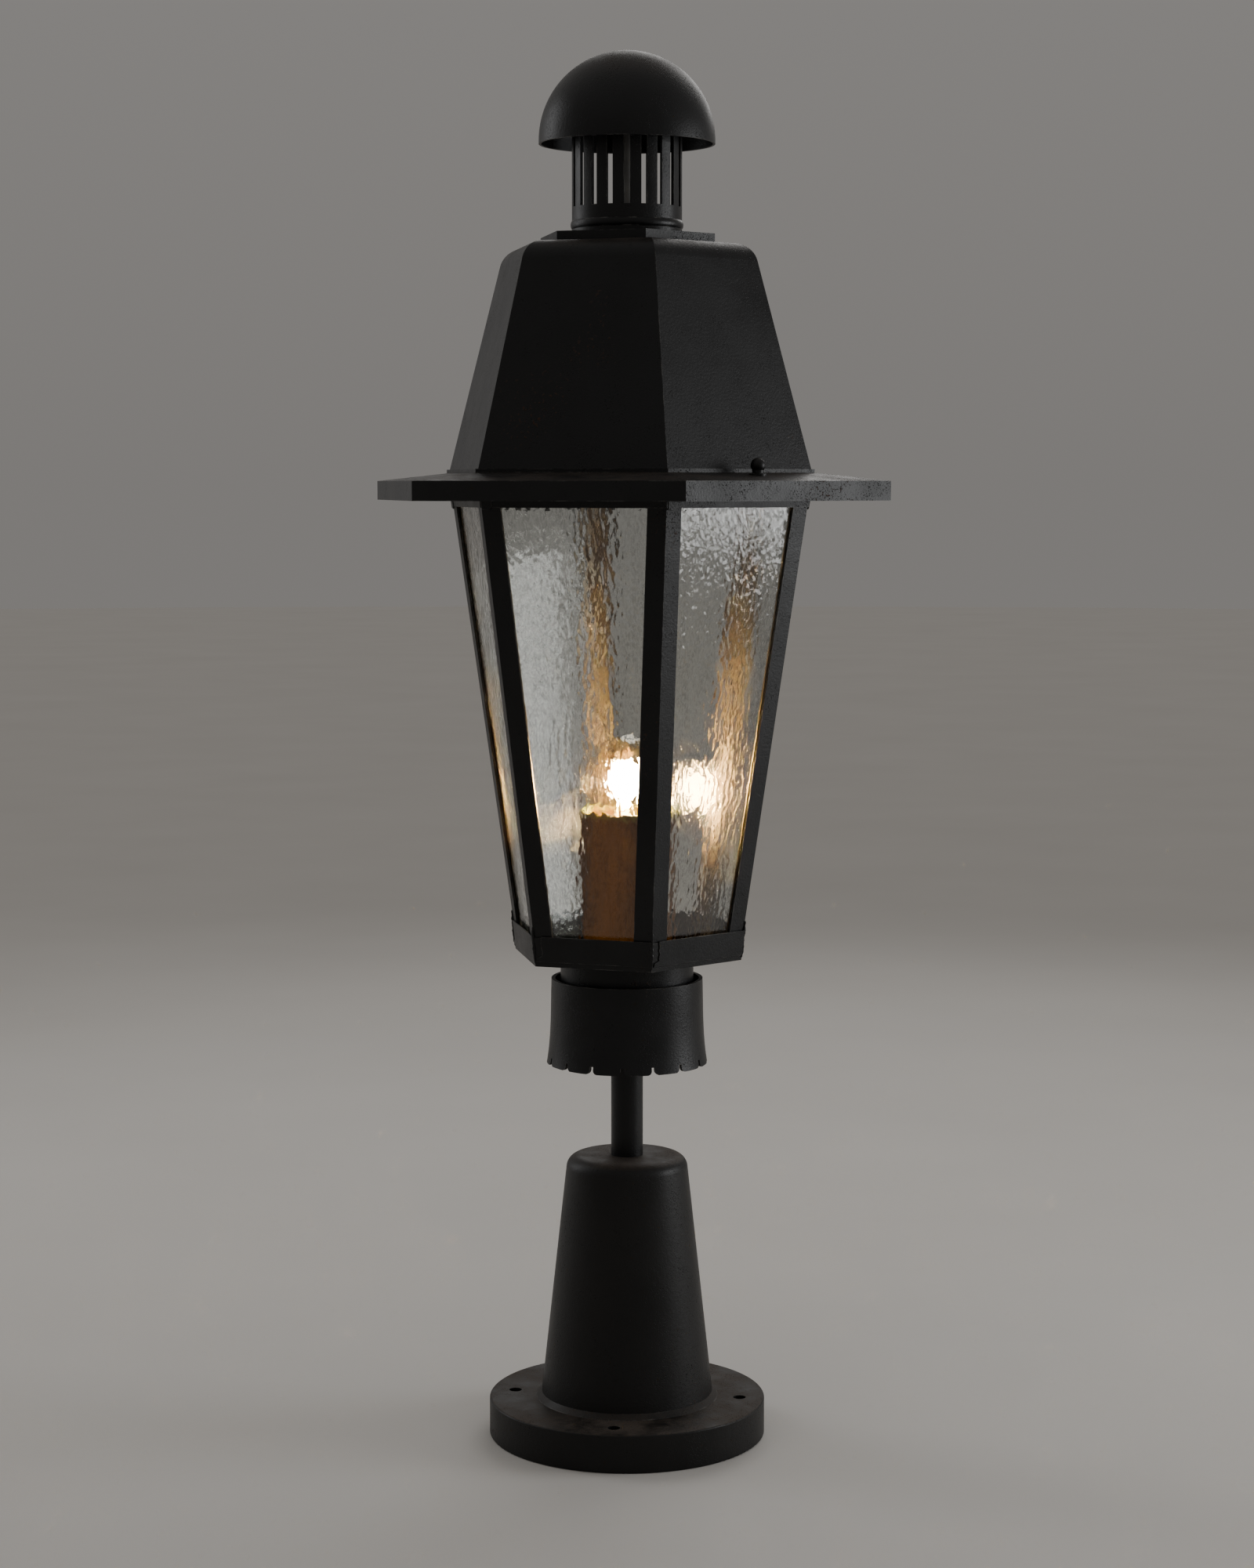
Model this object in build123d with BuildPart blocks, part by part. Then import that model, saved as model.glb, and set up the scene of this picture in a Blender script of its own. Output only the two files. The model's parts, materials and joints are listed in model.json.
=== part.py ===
from build123d import *
from math import atan2, cos, degrees, radians, sin, sqrt
import os

os.makedirs("parts", exist_ok=True)

# Post lantern on a pedestal foot. Millimetres, +Z up, origin on the floor at the middle of the foot.
# Every hexagon has a corner on +X, so its flats face the 30, 90, 150, 210, 270 and 330 degree headings.
# A hexagon is sized by its circumradius, the distance from the middle to a corner.

SIDES = 6
COS30 = cos(radians(30))
CORNER_STEP = 360 / SIDES
FLAT_OFFSET = CORNER_STEP / 2
CUT_OVERRUN = 5.0

# Foot: a thick drilled flange, a hollow cone and the pipe stem that screws into it
FLANGE_RADIUS = 92.5
FLANGE_THICKNESS = 25.4
FLANGE_EDGE = 1.5
WIRE_BORE = 16.0
BOLT_CIRCLE = 152.0
BOLT_HOLE_RADIUS = 4.25
BOLT_COUNT = 4
BOLT_CLOCKING = 42.0
CONE_FOOT_RADIUS = 57.8
CONE_TOP_RADIUS = 39.7
CONE_TOP = 189.8
CONE_SHOULDER = 8.5
CONE_WALL = 5.0
CONE_BOSS = 18.0
CONE_BOSS_INNER_RADIUS = 36.7
CONE_BEAD = 3.4
CONE_BEAD_INSET = 0.4
STEM_RADIUS = 10.65
STEM_WALL = 2.75
STEM_TOP = 312.0
LOCKNUT_RADIUS = 17.0
LOCKNUT_HEIGHT = 7.0

# Neck and toothed collar under the lantern body
NECK_RADIUS = 44.2
NECK_WALL = 2.0
NECK_BOTTOM = 262.0
NECK_PLATE_BOTTOM = 297.0
NECK_PLATE_THICKNESS = 4.0
COLLAR_TOP = 309.6
COLLAR_BOTTOM = 253.0
COLLAR_TOP_RADIUS = 50.3
COLLAR_BOTTOM_RADIUS = 53.5
COLLAR_WALL = 2.5
COLLAR_STRAIGHT_BOTTOM = 285.0
COLLAR_UPPER_BEND = 287.0
COLLAR_UPPER_FLARE = 0.5
COLLAR_LOWER_BEND = 270.5
COLLAR_LOWER_FLARE = 1.2
COLLAR_TEETH = 16
TOOTH_GAP = 2.2
TOOTH_DEPTH = 5.0
TOOTH_ROUND = 3.0
SPACER_BOTTOM = 288.0
SPACER_THICKNESS = 6.0

# Tapered body: the outer faces of the corner posts, as circumradius against height
BODY_REFERENCE_HEIGHT = 353.6
BODY_REFERENCE_RADIUS = 82.0
BODY_TAPER = 0.1505
PAN_BOTTOM = 325.1
PAN_SHEET = 1.5
PAN_WIRE_HOLE = 6.5
BAND_TOP = 344.3
BAND_BOTTOM_RADIUS = 79.15
BAND_TOP_RADIUS = 81.5
POST_TOP = 640.5
POST_LEG = 12.5
POST_SHEET = 1.5
PANE_THICKNESS = 3.0
PANE_CORNER_GAP = 3.0
PANE_TOP = 640.0
STOP_LEG = 9.0
STOP_SHEET = 1.2
TOP_BAND_BOTTOM = 621.6
TOP_BAND_SHEET = 0.9
TOP_RING_OPENING = 108.0
TOP_RING_THICKNESS = 1.5
BODY_TOP = POST_TOP + TOP_RING_THICKNESS

# Roof: eave with a turned-down skirt, tapered hood, top plate, slotted chimney and dome
EAVE_RADIUS = 177.4
EAVE_SKIRT_BOTTOM = 626.0
EAVE_EDGE = 638.5
EAVE_TOP = 643.65
EAVE_SHEET = 1.2
EAVE_OPENING = 108.0
HOOD_LIP_RADIUS = 127.05
HOOD_LIP_HEIGHT = 2.35
HOOD_FOOT_RADIUS = 125.44
HOOD_TOP_RADIUS = 85.2
HOOD_TOP = 790.65
HOOD_SHOULDER = 15.0
HOOD_SHEET = 1.2
VENT_RADIUS = 30.0
TOP_PLATE_RADIUS = 59.75
TOP_PLATE_TOP = 797.15
CHIMNEY_RADIUS = 35.8
CHIMNEY_WALL = 1.5
CHIMNEY_TOP = 880.0
CHIMNEY_SLOTS = 20
SLOT_WIDTH = 3.9
SLOT_BOTTOM = 815.0
SLOT_TOP = 866.0
SLOT_CLOCKING = 12.5
BEAD_BOTTOM = 801.0
BEAD_TOP = 806.5
BEAD_STANDS = 0.9
DOME_RADIUS = 57.3
DOME_BOTTOM = 855.75
DOME_STRAIGHT = 2.15
DOME_SHEET = 1.6
TIE_ROD_RADIUS = 4.75
TIE_ROD_BOTTOM = 776.0
TIE_ROD_TOP = 909.0
TIE_BAR_LENGTH = 78.0
TIE_BAR_WIDTH = 14.0
TIE_BAR_THICKNESS = 3.0
TIE_NUT_RADIUS = 9.0
TIE_NUT_HEIGHT = 7.0
DOME_BOSS_RADIUS = 9.0
DOME_BOSS_BOTTOM = 903.0
DOME_BOSS_GAP = 0.05

# Hinge on the +Y flat, and the knob that holds the roof down on the -Y flat
HINGE_Y = 112.4
HINGE_Z = 631.0
HINGE_WIDTH = 40.0
KNUCKLE_RADIUS = 3.0
KNUCKLE_MIDDLE = 14.0
KNUCKLE_GAP = 0.4
HINGE_PIN_RADIUS = 1.5
HINGE_PIN_CLEARANCE = 0.3
HINGE_PIN_OVERHANG = 1.0
HINGE_LEAF = 1.0
HINGE_LEAF_BOTTOM = 622.5
HINGE_LEAF_TOP = 639.5
HINGE_FLANGE_REACH = 16.0
KNOB_Y = -123.5
KNOB_RADIUS = 4.7
KNOB_TOP = 652.85
KNOB_FOOT = 643.3
KNOB_NECK_RADIUS = 3.6
KNOB_SHANK_RADIUS = 2.2
KNOB_SHANK_BOTTOM = 633.4
KNOB_HOLE_RADIUS = 2.7
WASHER_RADIUS = 5.6
WASHER_BLANK_MARGIN = 1.0
WASHER_TOP = 643.0
LUG_WIDTH = 16.0
LUG_TOP = 638.9
LUG_THICKNESS = 4.0
LUG_BOTTOM = 628.0
LUG_END_Y = -131.0

# Lamp: lampholder and sleeve on the pan, with a screw-in bulb
HOLDER_BASE_RADIUS = 32.0
HOLDER_BASE_THICKNESS = 3.0
HOLDER_RADIUS = 20.0
HOLDER_TOP = 372.0
HOLDER_SOCKET_BOTTOM = 350.0
HOLDER_WIRE_HOLE = 4.0
HOLDER_EDGE = 2.0
SHELL_RADIUS = 14.2
SHELL_WALL = 0.7
SHELL_DROP = 1.0
SLEEVE_RADIUS = 30.0
SLEEVE_WALL = 1.5
SLEEVE_TOP = 421.6
CAP_RADIUS = 13.1
CAP_TIP_BOTTOM = 353.5
CAP_TIP_RADIUS = 4.5
CAP_INSULATOR_BOTTOM = 357.0
CAP_INSULATOR_RADIUS = 9.0
CAP_SHELL_BOTTOM = 359.0
CAP_TOP = 386.0
CAP_SEAT = CAP_TOP - 2.0
BULB_RADIUS = 30.0
BULB_CENTRE = 440.6
BULB_NECK_RADIUS = 12.3
BULB_NECK_ARC = 30.0
BULB_WALL = 1.0
CAPSULE_RADIUS = 11.5
CAPSULE_SEAL_BOTTOM = 424.0
CAPSULE_SEAL_RADIUS = 3.0
CAPSULE_LOWER_CENTRE = 440.0
CAPSULE_UPPER_CENTRE = 443.5
MOUNT_FOOT_RADIUS = 8.0
MOUNT_WAIST_RADIUS = 4.0
MOUNT_WAIST_HEIGHT = 396.0


def body_radius(height):
    """Circumradius of the tapered body, over the outside of the corner posts."""
    return BODY_REFERENCE_RADIUS + BODY_TAPER * (height - BODY_REFERENCE_HEIGHT)


def eave_top_at(distance):
    """Height of the eave's upper face at a distance from the middle, measured square to a flat."""
    lip = HOOD_LIP_RADIUS * COS30
    edge = EAVE_RADIUS * COS30
    if distance <= lip:
        return EAVE_TOP
    return EAVE_TOP - (EAVE_TOP - EAVE_EDGE) * (distance - lip) / (edge - lip)


def hexagon(height, radius):
    """A level hexagon with a corner on +X."""
    with BuildSketch(Plane.XY.offset(height)) as section:
        RegularPolygon(radius=radius, side_count=SIDES)
    return section.sketch


def angle_section(height, radius, leg, sheet, heading):
    """A 120 degree sheet angle cut level, with its outer corner at this radius and heading."""
    tip = radius - leg / 2
    side = leg * COS30
    inner_tip = tip - sheet * COS30
    inner_side = side - sheet / 2
    inner_corner = radius - sheet / COS30
    with BuildSketch(Plane.XY.offset(height).rotated((0, 0, heading))) as section:
        with BuildLine():
            Polyline(
                (radius, 0), (tip, side), (inner_tip, inner_side), (inner_corner, 0),
                (inner_tip, -inner_side), (tip, -side), close=True,
            )
        make_face()
    return section.sketch


def pane_section(height, heading):
    """A pane cut level: it lies behind the post sheet and stops short of each corner."""
    outer = body_radius(height) * COS30 - POST_SHEET
    half_width = outer / sqrt(3) - PANE_CORNER_GAP
    with BuildSketch(Plane.XY.offset(height).rotated((0, 0, heading))) as section:
        with Locations((outer - PANE_THICKNESS / 2, 0)):
            Rectangle(PANE_THICKNESS, 2 * half_width)
    return section.sketch


def bulb_outline(inset):
    """Half outline of the bulb: neck, hollow arc and round end, moved inwards by the inset."""
    neck = BULB_NECK_RADIUS - inset
    ball = BULB_RADIUS - inset
    arc = BULB_NECK_ARC + inset
    drop = sqrt((ball + arc) ** 2 - (neck + arc) ** 2)
    join = degrees(atan2(drop, neck + arc))
    arc_centre = (neck + arc, BULB_CENTRE - drop)
    bottom = CAP_SEAT - inset
    with BuildSketch(Plane.XZ) as outline:
        with BuildLine():
            Line((neck, bottom), (neck, BULB_CENTRE - drop))
            CenterArc(arc_centre, arc, 180, -join)
            CenterArc((0, BULB_CENTRE), ball, -join, 90 + join)
            Line((0, BULB_CENTRE + ball), (0, bottom))
            Line((0, bottom), (neck, bottom))
        make_face()
    return outline.sketch


def save(piece, name):
    """Name a finished piece and write it to its own file."""
    piece.label = name
    export_step(piece, "parts/" + name + ".step")


# ---- Foot ----

with BuildPart() as base_flange:
    with BuildSketch(Plane.XY):
        Circle(FLANGE_RADIUS)
        Circle(WIRE_BORE, mode=Mode.SUBTRACT)
        with PolarLocations(BOLT_CIRCLE / 2, BOLT_COUNT, start_angle=BOLT_CLOCKING):
            Circle(BOLT_HOLE_RADIUS, mode=Mode.SUBTRACT)
    extrude(amount=FLANGE_THICKNESS)
    rims = base_flange.edges().filter_by(GeomType.CIRCLE)
    fillet(rims.filter_by(lambda edge: edge.radius > FLANGE_RADIUS - 1), radius=FLANGE_EDGE)
save(base_flange.part, "base_flange")

with BuildPart() as base_cone:
    foot_inner = CONE_FOOT_RADIUS - CONE_WALL
    boss_bottom = CONE_TOP - CONE_BOSS
    with BuildSketch(Plane.XZ):
        with BuildLine():
            Polyline(
                (STEM_RADIUS, CONE_TOP), (CONE_TOP_RADIUS, CONE_TOP),
                (CONE_FOOT_RADIUS - CONE_BEAD_INSET, FLANGE_THICKNESS + CONE_BEAD),
                (CONE_FOOT_RADIUS + CONE_BEAD, FLANGE_THICKNESS),
                (foot_inner, FLANGE_THICKNESS), (CONE_BOSS_INNER_RADIUS, boss_bottom),
                (STEM_RADIUS, boss_bottom), close=True,
            )
        make_face()
        shoulder = vertices().sort_by_distance((CONE_TOP_RADIUS, CONE_TOP, 0))[0]
        fillet(shoulder, radius=CONE_SHOULDER)
    revolve(axis=Axis.Z)
save(base_cone.part, "base_cone")

with BuildPart() as stem_pipe:
    with BuildSketch(Plane.XY.offset(CONE_TOP - CONE_BOSS)):
        Circle(STEM_RADIUS)
        Circle(STEM_RADIUS - STEM_WALL, mode=Mode.SUBTRACT)
    extrude(amount=STEM_TOP - CONE_TOP + CONE_BOSS)
save(stem_pipe.part, "stem_pipe")

with BuildPart() as stem_locknuts:
    for nut_bottom in (NECK_PLATE_BOTTOM - LOCKNUT_HEIGHT, NECK_PLATE_BOTTOM + NECK_PLATE_THICKNESS):
        with BuildSketch(Plane.XY.offset(nut_bottom)):
            RegularPolygon(radius=LOCKNUT_RADIUS, side_count=SIDES)
            Circle(STEM_RADIUS, mode=Mode.SUBTRACT)
        extrude(amount=LOCKNUT_HEIGHT)
save(stem_locknuts.part, "stem_locknuts")

# ---- Neck and collar ----

with BuildPart() as neck_plate:
    with BuildSketch(Plane.XY.offset(NECK_PLATE_BOTTOM)):
        Circle(NECK_RADIUS - NECK_WALL)
        Circle(STEM_RADIUS, mode=Mode.SUBTRACT)
    extrude(amount=NECK_PLATE_THICKNESS)
save(neck_plate.part, "neck_plate")

with BuildPart() as neck_tube:
    with BuildSketch(Plane.XY.offset(NECK_BOTTOM)):
        Circle(NECK_RADIUS)
        Circle(NECK_RADIUS - NECK_WALL, mode=Mode.SUBTRACT)
    extrude(amount=PAN_BOTTOM - NECK_BOTTOM)
save(neck_tube.part, "neck_tube")

with BuildPart() as collar:
    inner_top = COLLAR_TOP_RADIUS - COLLAR_WALL
    inner_bottom = COLLAR_BOTTOM_RADIUS - COLLAR_WALL
    with BuildSketch(Plane.XZ):
        with BuildLine():
            Spline(
                (COLLAR_TOP_RADIUS, COLLAR_TOP),
                (COLLAR_TOP_RADIUS + COLLAR_UPPER_FLARE, COLLAR_UPPER_BEND),
                (COLLAR_TOP_RADIUS + COLLAR_LOWER_FLARE, COLLAR_LOWER_BEND),
                (COLLAR_BOTTOM_RADIUS, COLLAR_BOTTOM),
            )
            Line((COLLAR_BOTTOM_RADIUS, COLLAR_BOTTOM), (inner_bottom, COLLAR_BOTTOM))
            Spline(
                (inner_bottom, COLLAR_BOTTOM), (inner_top + COLLAR_LOWER_FLARE, COLLAR_LOWER_BEND),
                (inner_top, COLLAR_STRAIGHT_BOTTOM),
            )
            Line((inner_top, COLLAR_STRAIGHT_BOTTOM), (inner_top, COLLAR_TOP))
            Line((inner_top, COLLAR_TOP), (COLLAR_TOP_RADIUS, COLLAR_TOP))
        make_face()
    revolve(axis=Axis.Z)
    for pair in range(COLLAR_TEETH // 2):
        gap_heading = pair * 360 / COLLAR_TEETH
        gap_plane = Plane(
            origin=(0, 0, COLLAR_BOTTOM), z_dir=Vector(1, 0, 0).rotate(Axis.Z, gap_heading),
            x_dir=Vector(0, 1, 0).rotate(Axis.Z, gap_heading),
        )
        with BuildSketch(gap_plane):
            Rectangle(TOOTH_GAP, 2 * TOOTH_DEPTH)
            with Locations((0, TOOTH_ROUND / 2)):
                Rectangle(TOOTH_GAP + 2 * TOOTH_ROUND, TOOTH_ROUND)
            round_middle = TOOTH_GAP / 2 + TOOTH_ROUND
            with Locations((-round_middle, TOOTH_ROUND), (round_middle, TOOTH_ROUND)):
                Circle(TOOTH_ROUND, mode=Mode.SUBTRACT)
        extrude(amount=COLLAR_BOTTOM_RADIUS + CUT_OVERRUN, both=True, mode=Mode.SUBTRACT)
save(collar.part, "collar")

with BuildPart() as collar_spacer:
    with BuildSketch(Plane.XY.offset(SPACER_BOTTOM)):
        Circle(COLLAR_TOP_RADIUS - COLLAR_WALL)
        Circle(NECK_RADIUS, mode=Mode.SUBTRACT)
    extrude(amount=SPACER_THICKNESS)
save(collar_spacer.part, "collar_spacer")

# ---- Body: pan, bands, posts, panes and glazing stops ----

PAN_FLOOR = PAN_BOTTOM + PAN_SHEET

with BuildPart() as bottom_pan:
    loft(
        [hexagon(PAN_BOTTOM, body_radius(PAN_BOTTOM)), hexagon(PAN_FLOOR, body_radius(PAN_FLOOR))],
        ruled=True,
    )
    with BuildSketch(Plane.XY.offset(PAN_BOTTOM)):
        Circle(PAN_WIRE_HOLE)
    extrude(amount=PAN_SHEET, mode=Mode.SUBTRACT)
save(bottom_pan.part, "bottom_pan")

with BuildPart() as bottom_band:
    loft(
        [hexagon(PAN_BOTTOM, BAND_BOTTOM_RADIUS), hexagon(BAND_TOP, BAND_TOP_RADIUS)],
        ruled=True,
    )
    loft(
        [hexagon(PAN_BOTTOM, body_radius(PAN_BOTTOM)), hexagon(BAND_TOP, body_radius(BAND_TOP))],
        ruled=True, mode=Mode.SUBTRACT,
    )
save(bottom_band.part, "bottom_band")

STOP_CORNER_INSET = (POST_SHEET + PANE_THICKNESS) / COS30

for index in range(SIDES):
    corner_heading = index * CORNER_STEP
    flat_heading = corner_heading + FLAT_OFFSET
    number = str(index + 1)

    with BuildPart() as corner_post:
        loft(
            [
                angle_section(z, body_radius(z), POST_LEG, POST_SHEET, corner_heading)
                for z in (PAN_FLOOR, POST_TOP)
            ],
            ruled=True,
        )
    save(corner_post.part, "corner_post_" + number)

    with BuildPart() as glazing_stop:
        loft(
            [
                angle_section(z, body_radius(z) - STOP_CORNER_INSET, STOP_LEG, STOP_SHEET, corner_heading)
                for z in (PAN_FLOOR, PANE_TOP)
            ],
            ruled=True,
        )
    save(glazing_stop.part, "glazing_stop_" + number)

    with BuildPart() as glass_pane:
        loft([pane_section(z, flat_heading) for z in (PAN_FLOOR, PANE_TOP)], ruled=True)
    save(glass_pane.part, "glass_pane_" + number)

with BuildPart() as top_band:
    band_outset = TOP_BAND_SHEET / COS30
    loft(
        [hexagon(z, body_radius(z) + band_outset) for z in (TOP_BAND_BOTTOM, BODY_TOP)],
        ruled=True,
    )
    loft(
        [hexagon(z, body_radius(z)) for z in (TOP_BAND_BOTTOM, BODY_TOP)],
        ruled=True, mode=Mode.SUBTRACT,
    )
save(top_band.part, "top_band")

with BuildPart() as top_ring:
    loft([hexagon(z, body_radius(z)) for z in (POST_TOP, BODY_TOP)], ruled=True)
    with BuildSketch(Plane.XY.offset(POST_TOP)):
        RegularPolygon(radius=TOP_RING_OPENING, side_count=SIDES)
    extrude(amount=TOP_RING_THICKNESS, mode=Mode.SUBTRACT)
save(top_ring.part, "top_ring")


def band_face(height):
    """Distance from the middle to the outside of the top band, square to a flat."""
    return body_radius(height) * COS30 + TOP_BAND_SHEET


# ---- Roof ----

def hex_shell(outer, inner):
    """A hollow hexagonal piece from outer and inner (height, circumradius) pairs."""
    with BuildPart() as shell:
        for low, high in zip(outer[:-1], outer[1:]):
            loft([hexagon(*low), hexagon(*high)], ruled=True)
        for low, high in zip(inner[:-1], inner[1:]):
            loft([hexagon(*low), hexagon(*high)], ruled=True, mode=Mode.SUBTRACT)
    return shell.part


EAVE_SHEET_ACROSS = EAVE_SHEET / COS30
with BuildPart() as eave:
    add(
        hex_shell(
            [(EAVE_SKIRT_BOTTOM, EAVE_RADIUS), (EAVE_EDGE, EAVE_RADIUS), (EAVE_TOP, HOOD_LIP_RADIUS)],
            [
                (EAVE_SKIRT_BOTTOM, EAVE_RADIUS - EAVE_SHEET_ACROSS),
                (EAVE_EDGE - EAVE_SHEET, EAVE_RADIUS - EAVE_SHEET_ACROSS),
                (EAVE_TOP - EAVE_SHEET, HOOD_LIP_RADIUS),
            ],
        )
    )
    with BuildSketch(Plane.XY.offset(EAVE_TOP - EAVE_SHEET)):
        RegularPolygon(radius=EAVE_OPENING, side_count=SIDES)
    extrude(amount=EAVE_SHEET, mode=Mode.SUBTRACT)
    with BuildSketch(Plane.XY.offset(EAVE_SKIRT_BOTTOM)):
        with Locations((0, KNOB_Y)):
            Circle(KNOB_HOLE_RADIUS)
    extrude(amount=EAVE_TOP - EAVE_SKIRT_BOTTOM, mode=Mode.SUBTRACT)
save(eave.part, "eave")

HOOD_SLOPE = (HOOD_FOOT_RADIUS - HOOD_TOP_RADIUS) / (HOOD_TOP - EAVE_TOP)
with BuildPart() as hood_space:
    sheet_across = HOOD_SHEET / COS30
    space_top = HOOD_TOP - HOOD_SHEET
    loft(
        [
            hexagon(EAVE_TOP, HOOD_FOOT_RADIUS - sheet_across),
            hexagon(space_top, HOOD_TOP_RADIUS - sheet_across + HOOD_SLOPE * HOOD_SHEET),
        ],
        ruled=True,
    )
    fillet(hood_space.edges().group_by(Axis.Z)[-1], radius=HOOD_SHOULDER - HOOD_SHEET)

with BuildPart() as hood_shell:
    loft([hexagon(EAVE_TOP, HOOD_FOOT_RADIUS), hexagon(HOOD_TOP, HOOD_TOP_RADIUS)], ruled=True)
    fillet(hood_shell.edges().group_by(Axis.Z)[-1], radius=HOOD_SHOULDER)
    add(hood_space.part, mode=Mode.SUBTRACT)
    with BuildSketch(Plane.XY.offset(HOOD_TOP - HOOD_SHEET)):
        Circle(VENT_RADIUS)
    extrude(amount=HOOD_SHEET, mode=Mode.SUBTRACT)
save(hood_shell.part, "hood_shell")

with BuildPart() as hood_rim:
    loft(
        [hexagon(EAVE_TOP, HOOD_LIP_RADIUS), hexagon(EAVE_TOP + HOOD_LIP_HEIGHT, HOOD_LIP_RADIUS)],
        ruled=True,
    )
    loft(
        [
            hexagon(EAVE_TOP, HOOD_FOOT_RADIUS),
            hexagon(EAVE_TOP + HOOD_LIP_HEIGHT, HOOD_FOOT_RADIUS - HOOD_SLOPE * HOOD_LIP_HEIGHT),
        ],
        ruled=True, mode=Mode.SUBTRACT,
    )
save(hood_rim.part, "hood_rim")

with BuildPart() as top_plate:
    with BuildSketch(Plane.XY.offset(HOOD_TOP)):
        RegularPolygon(radius=TOP_PLATE_RADIUS, side_count=SIDES)
        Circle(VENT_RADIUS, mode=Mode.SUBTRACT)
    extrude(amount=TOP_PLATE_TOP - HOOD_TOP)
save(top_plate.part, "top_plate")

with BuildPart() as chimney_tube:
    with BuildSketch(Plane.XY.offset(TOP_PLATE_TOP)):
        Circle(CHIMNEY_RADIUS)
        Circle(CHIMNEY_RADIUS - CHIMNEY_WALL, mode=Mode.SUBTRACT)
    extrude(amount=CHIMNEY_TOP - TOP_PLATE_TOP)
    for pair in range(CHIMNEY_SLOTS // 2):
        slot_heading = SLOT_CLOCKING + pair * 360 / CHIMNEY_SLOTS
        slot_plane = Plane(
            origin=(0, 0, (SLOT_BOTTOM + SLOT_TOP) / 2),
            z_dir=Vector(1, 0, 0).rotate(Axis.Z, slot_heading),
            x_dir=Vector(0, 1, 0).rotate(Axis.Z, slot_heading),
        )
        with BuildSketch(slot_plane):
            Rectangle(SLOT_WIDTH, SLOT_TOP - SLOT_BOTTOM)
        extrude(amount=CHIMNEY_RADIUS + CUT_OVERRUN, both=True, mode=Mode.SUBTRACT)
save(chimney_tube.part, "chimney_tube")

with BuildPart() as chimney_bead:
    bead_middle = (BEAD_BOTTOM + BEAD_TOP) / 2
    with BuildSketch(Plane.XZ):
        with BuildLine():
            ThreePointArc(
                (CHIMNEY_RADIUS, BEAD_BOTTOM), (CHIMNEY_RADIUS + BEAD_STANDS, bead_middle),
                (CHIMNEY_RADIUS, BEAD_TOP),
            )
            Line((CHIMNEY_RADIUS, BEAD_TOP), (CHIMNEY_RADIUS, BEAD_BOTTOM))
        make_face()
    revolve(axis=Axis.Z)
save(chimney_bead.part, "chimney_bead")

DOME_CENTRE = DOME_BOTTOM + DOME_STRAIGHT
DOME_INNER = DOME_RADIUS - DOME_SHEET

with BuildPart() as dome_cap:
    with BuildSketch(Plane.XZ):
        with BuildLine():
            Line((DOME_RADIUS, DOME_BOTTOM), (DOME_RADIUS, DOME_CENTRE))
            CenterArc((0, DOME_CENTRE), DOME_RADIUS, 0, 90)
            Line((0, DOME_CENTRE + DOME_RADIUS), (0, DOME_CENTRE + DOME_INNER))
            CenterArc((0, DOME_CENTRE), DOME_INNER, 90, -90)
            Line((DOME_INNER, DOME_CENTRE), (DOME_INNER, DOME_BOTTOM))
            Line((DOME_INNER, DOME_BOTTOM), (DOME_RADIUS, DOME_BOTTOM))
        make_face()
    revolve(axis=Axis.Z)
save(dome_cap.part, "dome_cap")

with BuildPart() as dome_boss:
    seat_radius = DOME_INNER - DOME_BOSS_GAP
    seat_angle = degrees(atan2(sqrt(seat_radius ** 2 - DOME_BOSS_RADIUS ** 2), DOME_BOSS_RADIUS))
    seat_height = DOME_CENTRE + seat_radius * sin(radians(seat_angle))
    with BuildSketch(Plane.XZ):
        with BuildLine():
            Polyline(
                (0, DOME_CENTRE + seat_radius), (0, TIE_ROD_TOP), (TIE_ROD_RADIUS, TIE_ROD_TOP),
                (TIE_ROD_RADIUS, DOME_BOSS_BOTTOM), (DOME_BOSS_RADIUS, DOME_BOSS_BOTTOM),
                (DOME_BOSS_RADIUS, seat_height),
            )
            CenterArc((0, DOME_CENTRE), seat_radius, seat_angle, 90 - seat_angle)
        make_face()
    revolve(axis=Axis.Z)
save(dome_boss.part, "dome_boss")

with BuildPart() as tie_rod:
    with BuildSketch(Plane.XY.offset(TIE_ROD_BOTTOM)):
        Circle(TIE_ROD_RADIUS)
    extrude(amount=TIE_ROD_TOP - TIE_ROD_BOTTOM)
save(tie_rod.part, "tie_rod")

TIE_BAR_BOTTOM = HOOD_TOP - HOOD_SHEET - TIE_BAR_THICKNESS
with BuildPart() as tie_bar:
    with BuildSketch(Plane.XY.offset(TIE_BAR_BOTTOM)):
        Rectangle(TIE_BAR_LENGTH, TIE_BAR_WIDTH)
        Circle(TIE_ROD_RADIUS, mode=Mode.SUBTRACT)
    extrude(amount=TIE_BAR_THICKNESS)
save(tie_bar.part, "tie_bar")

with BuildPart() as tie_rod_nut:
    with BuildSketch(Plane.XY.offset(TIE_BAR_BOTTOM - TIE_NUT_HEIGHT)):
        RegularPolygon(radius=TIE_NUT_RADIUS, side_count=SIDES)
        Circle(TIE_ROD_RADIUS, mode=Mode.SUBTRACT)
    extrude(amount=TIE_NUT_HEIGHT)
save(tie_rod_nut.part, "tie_rod_nut")

# ---- Hinge ----

SIDE_PLANE = Plane.YZ.offset(-HINGE_WIDTH / 2)
MIDDLE_PLANE = Plane.YZ.offset(-KNUCKLE_MIDDLE / 2)
OUTER_KNUCKLE = (HINGE_WIDTH - KNUCKLE_MIDDLE) / 2 - KNUCKLE_GAP
KNUCKLE_STARTS = (-HINGE_WIDTH / 2, KNUCKLE_MIDDLE / 2 + KNUCKLE_GAP)

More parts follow.
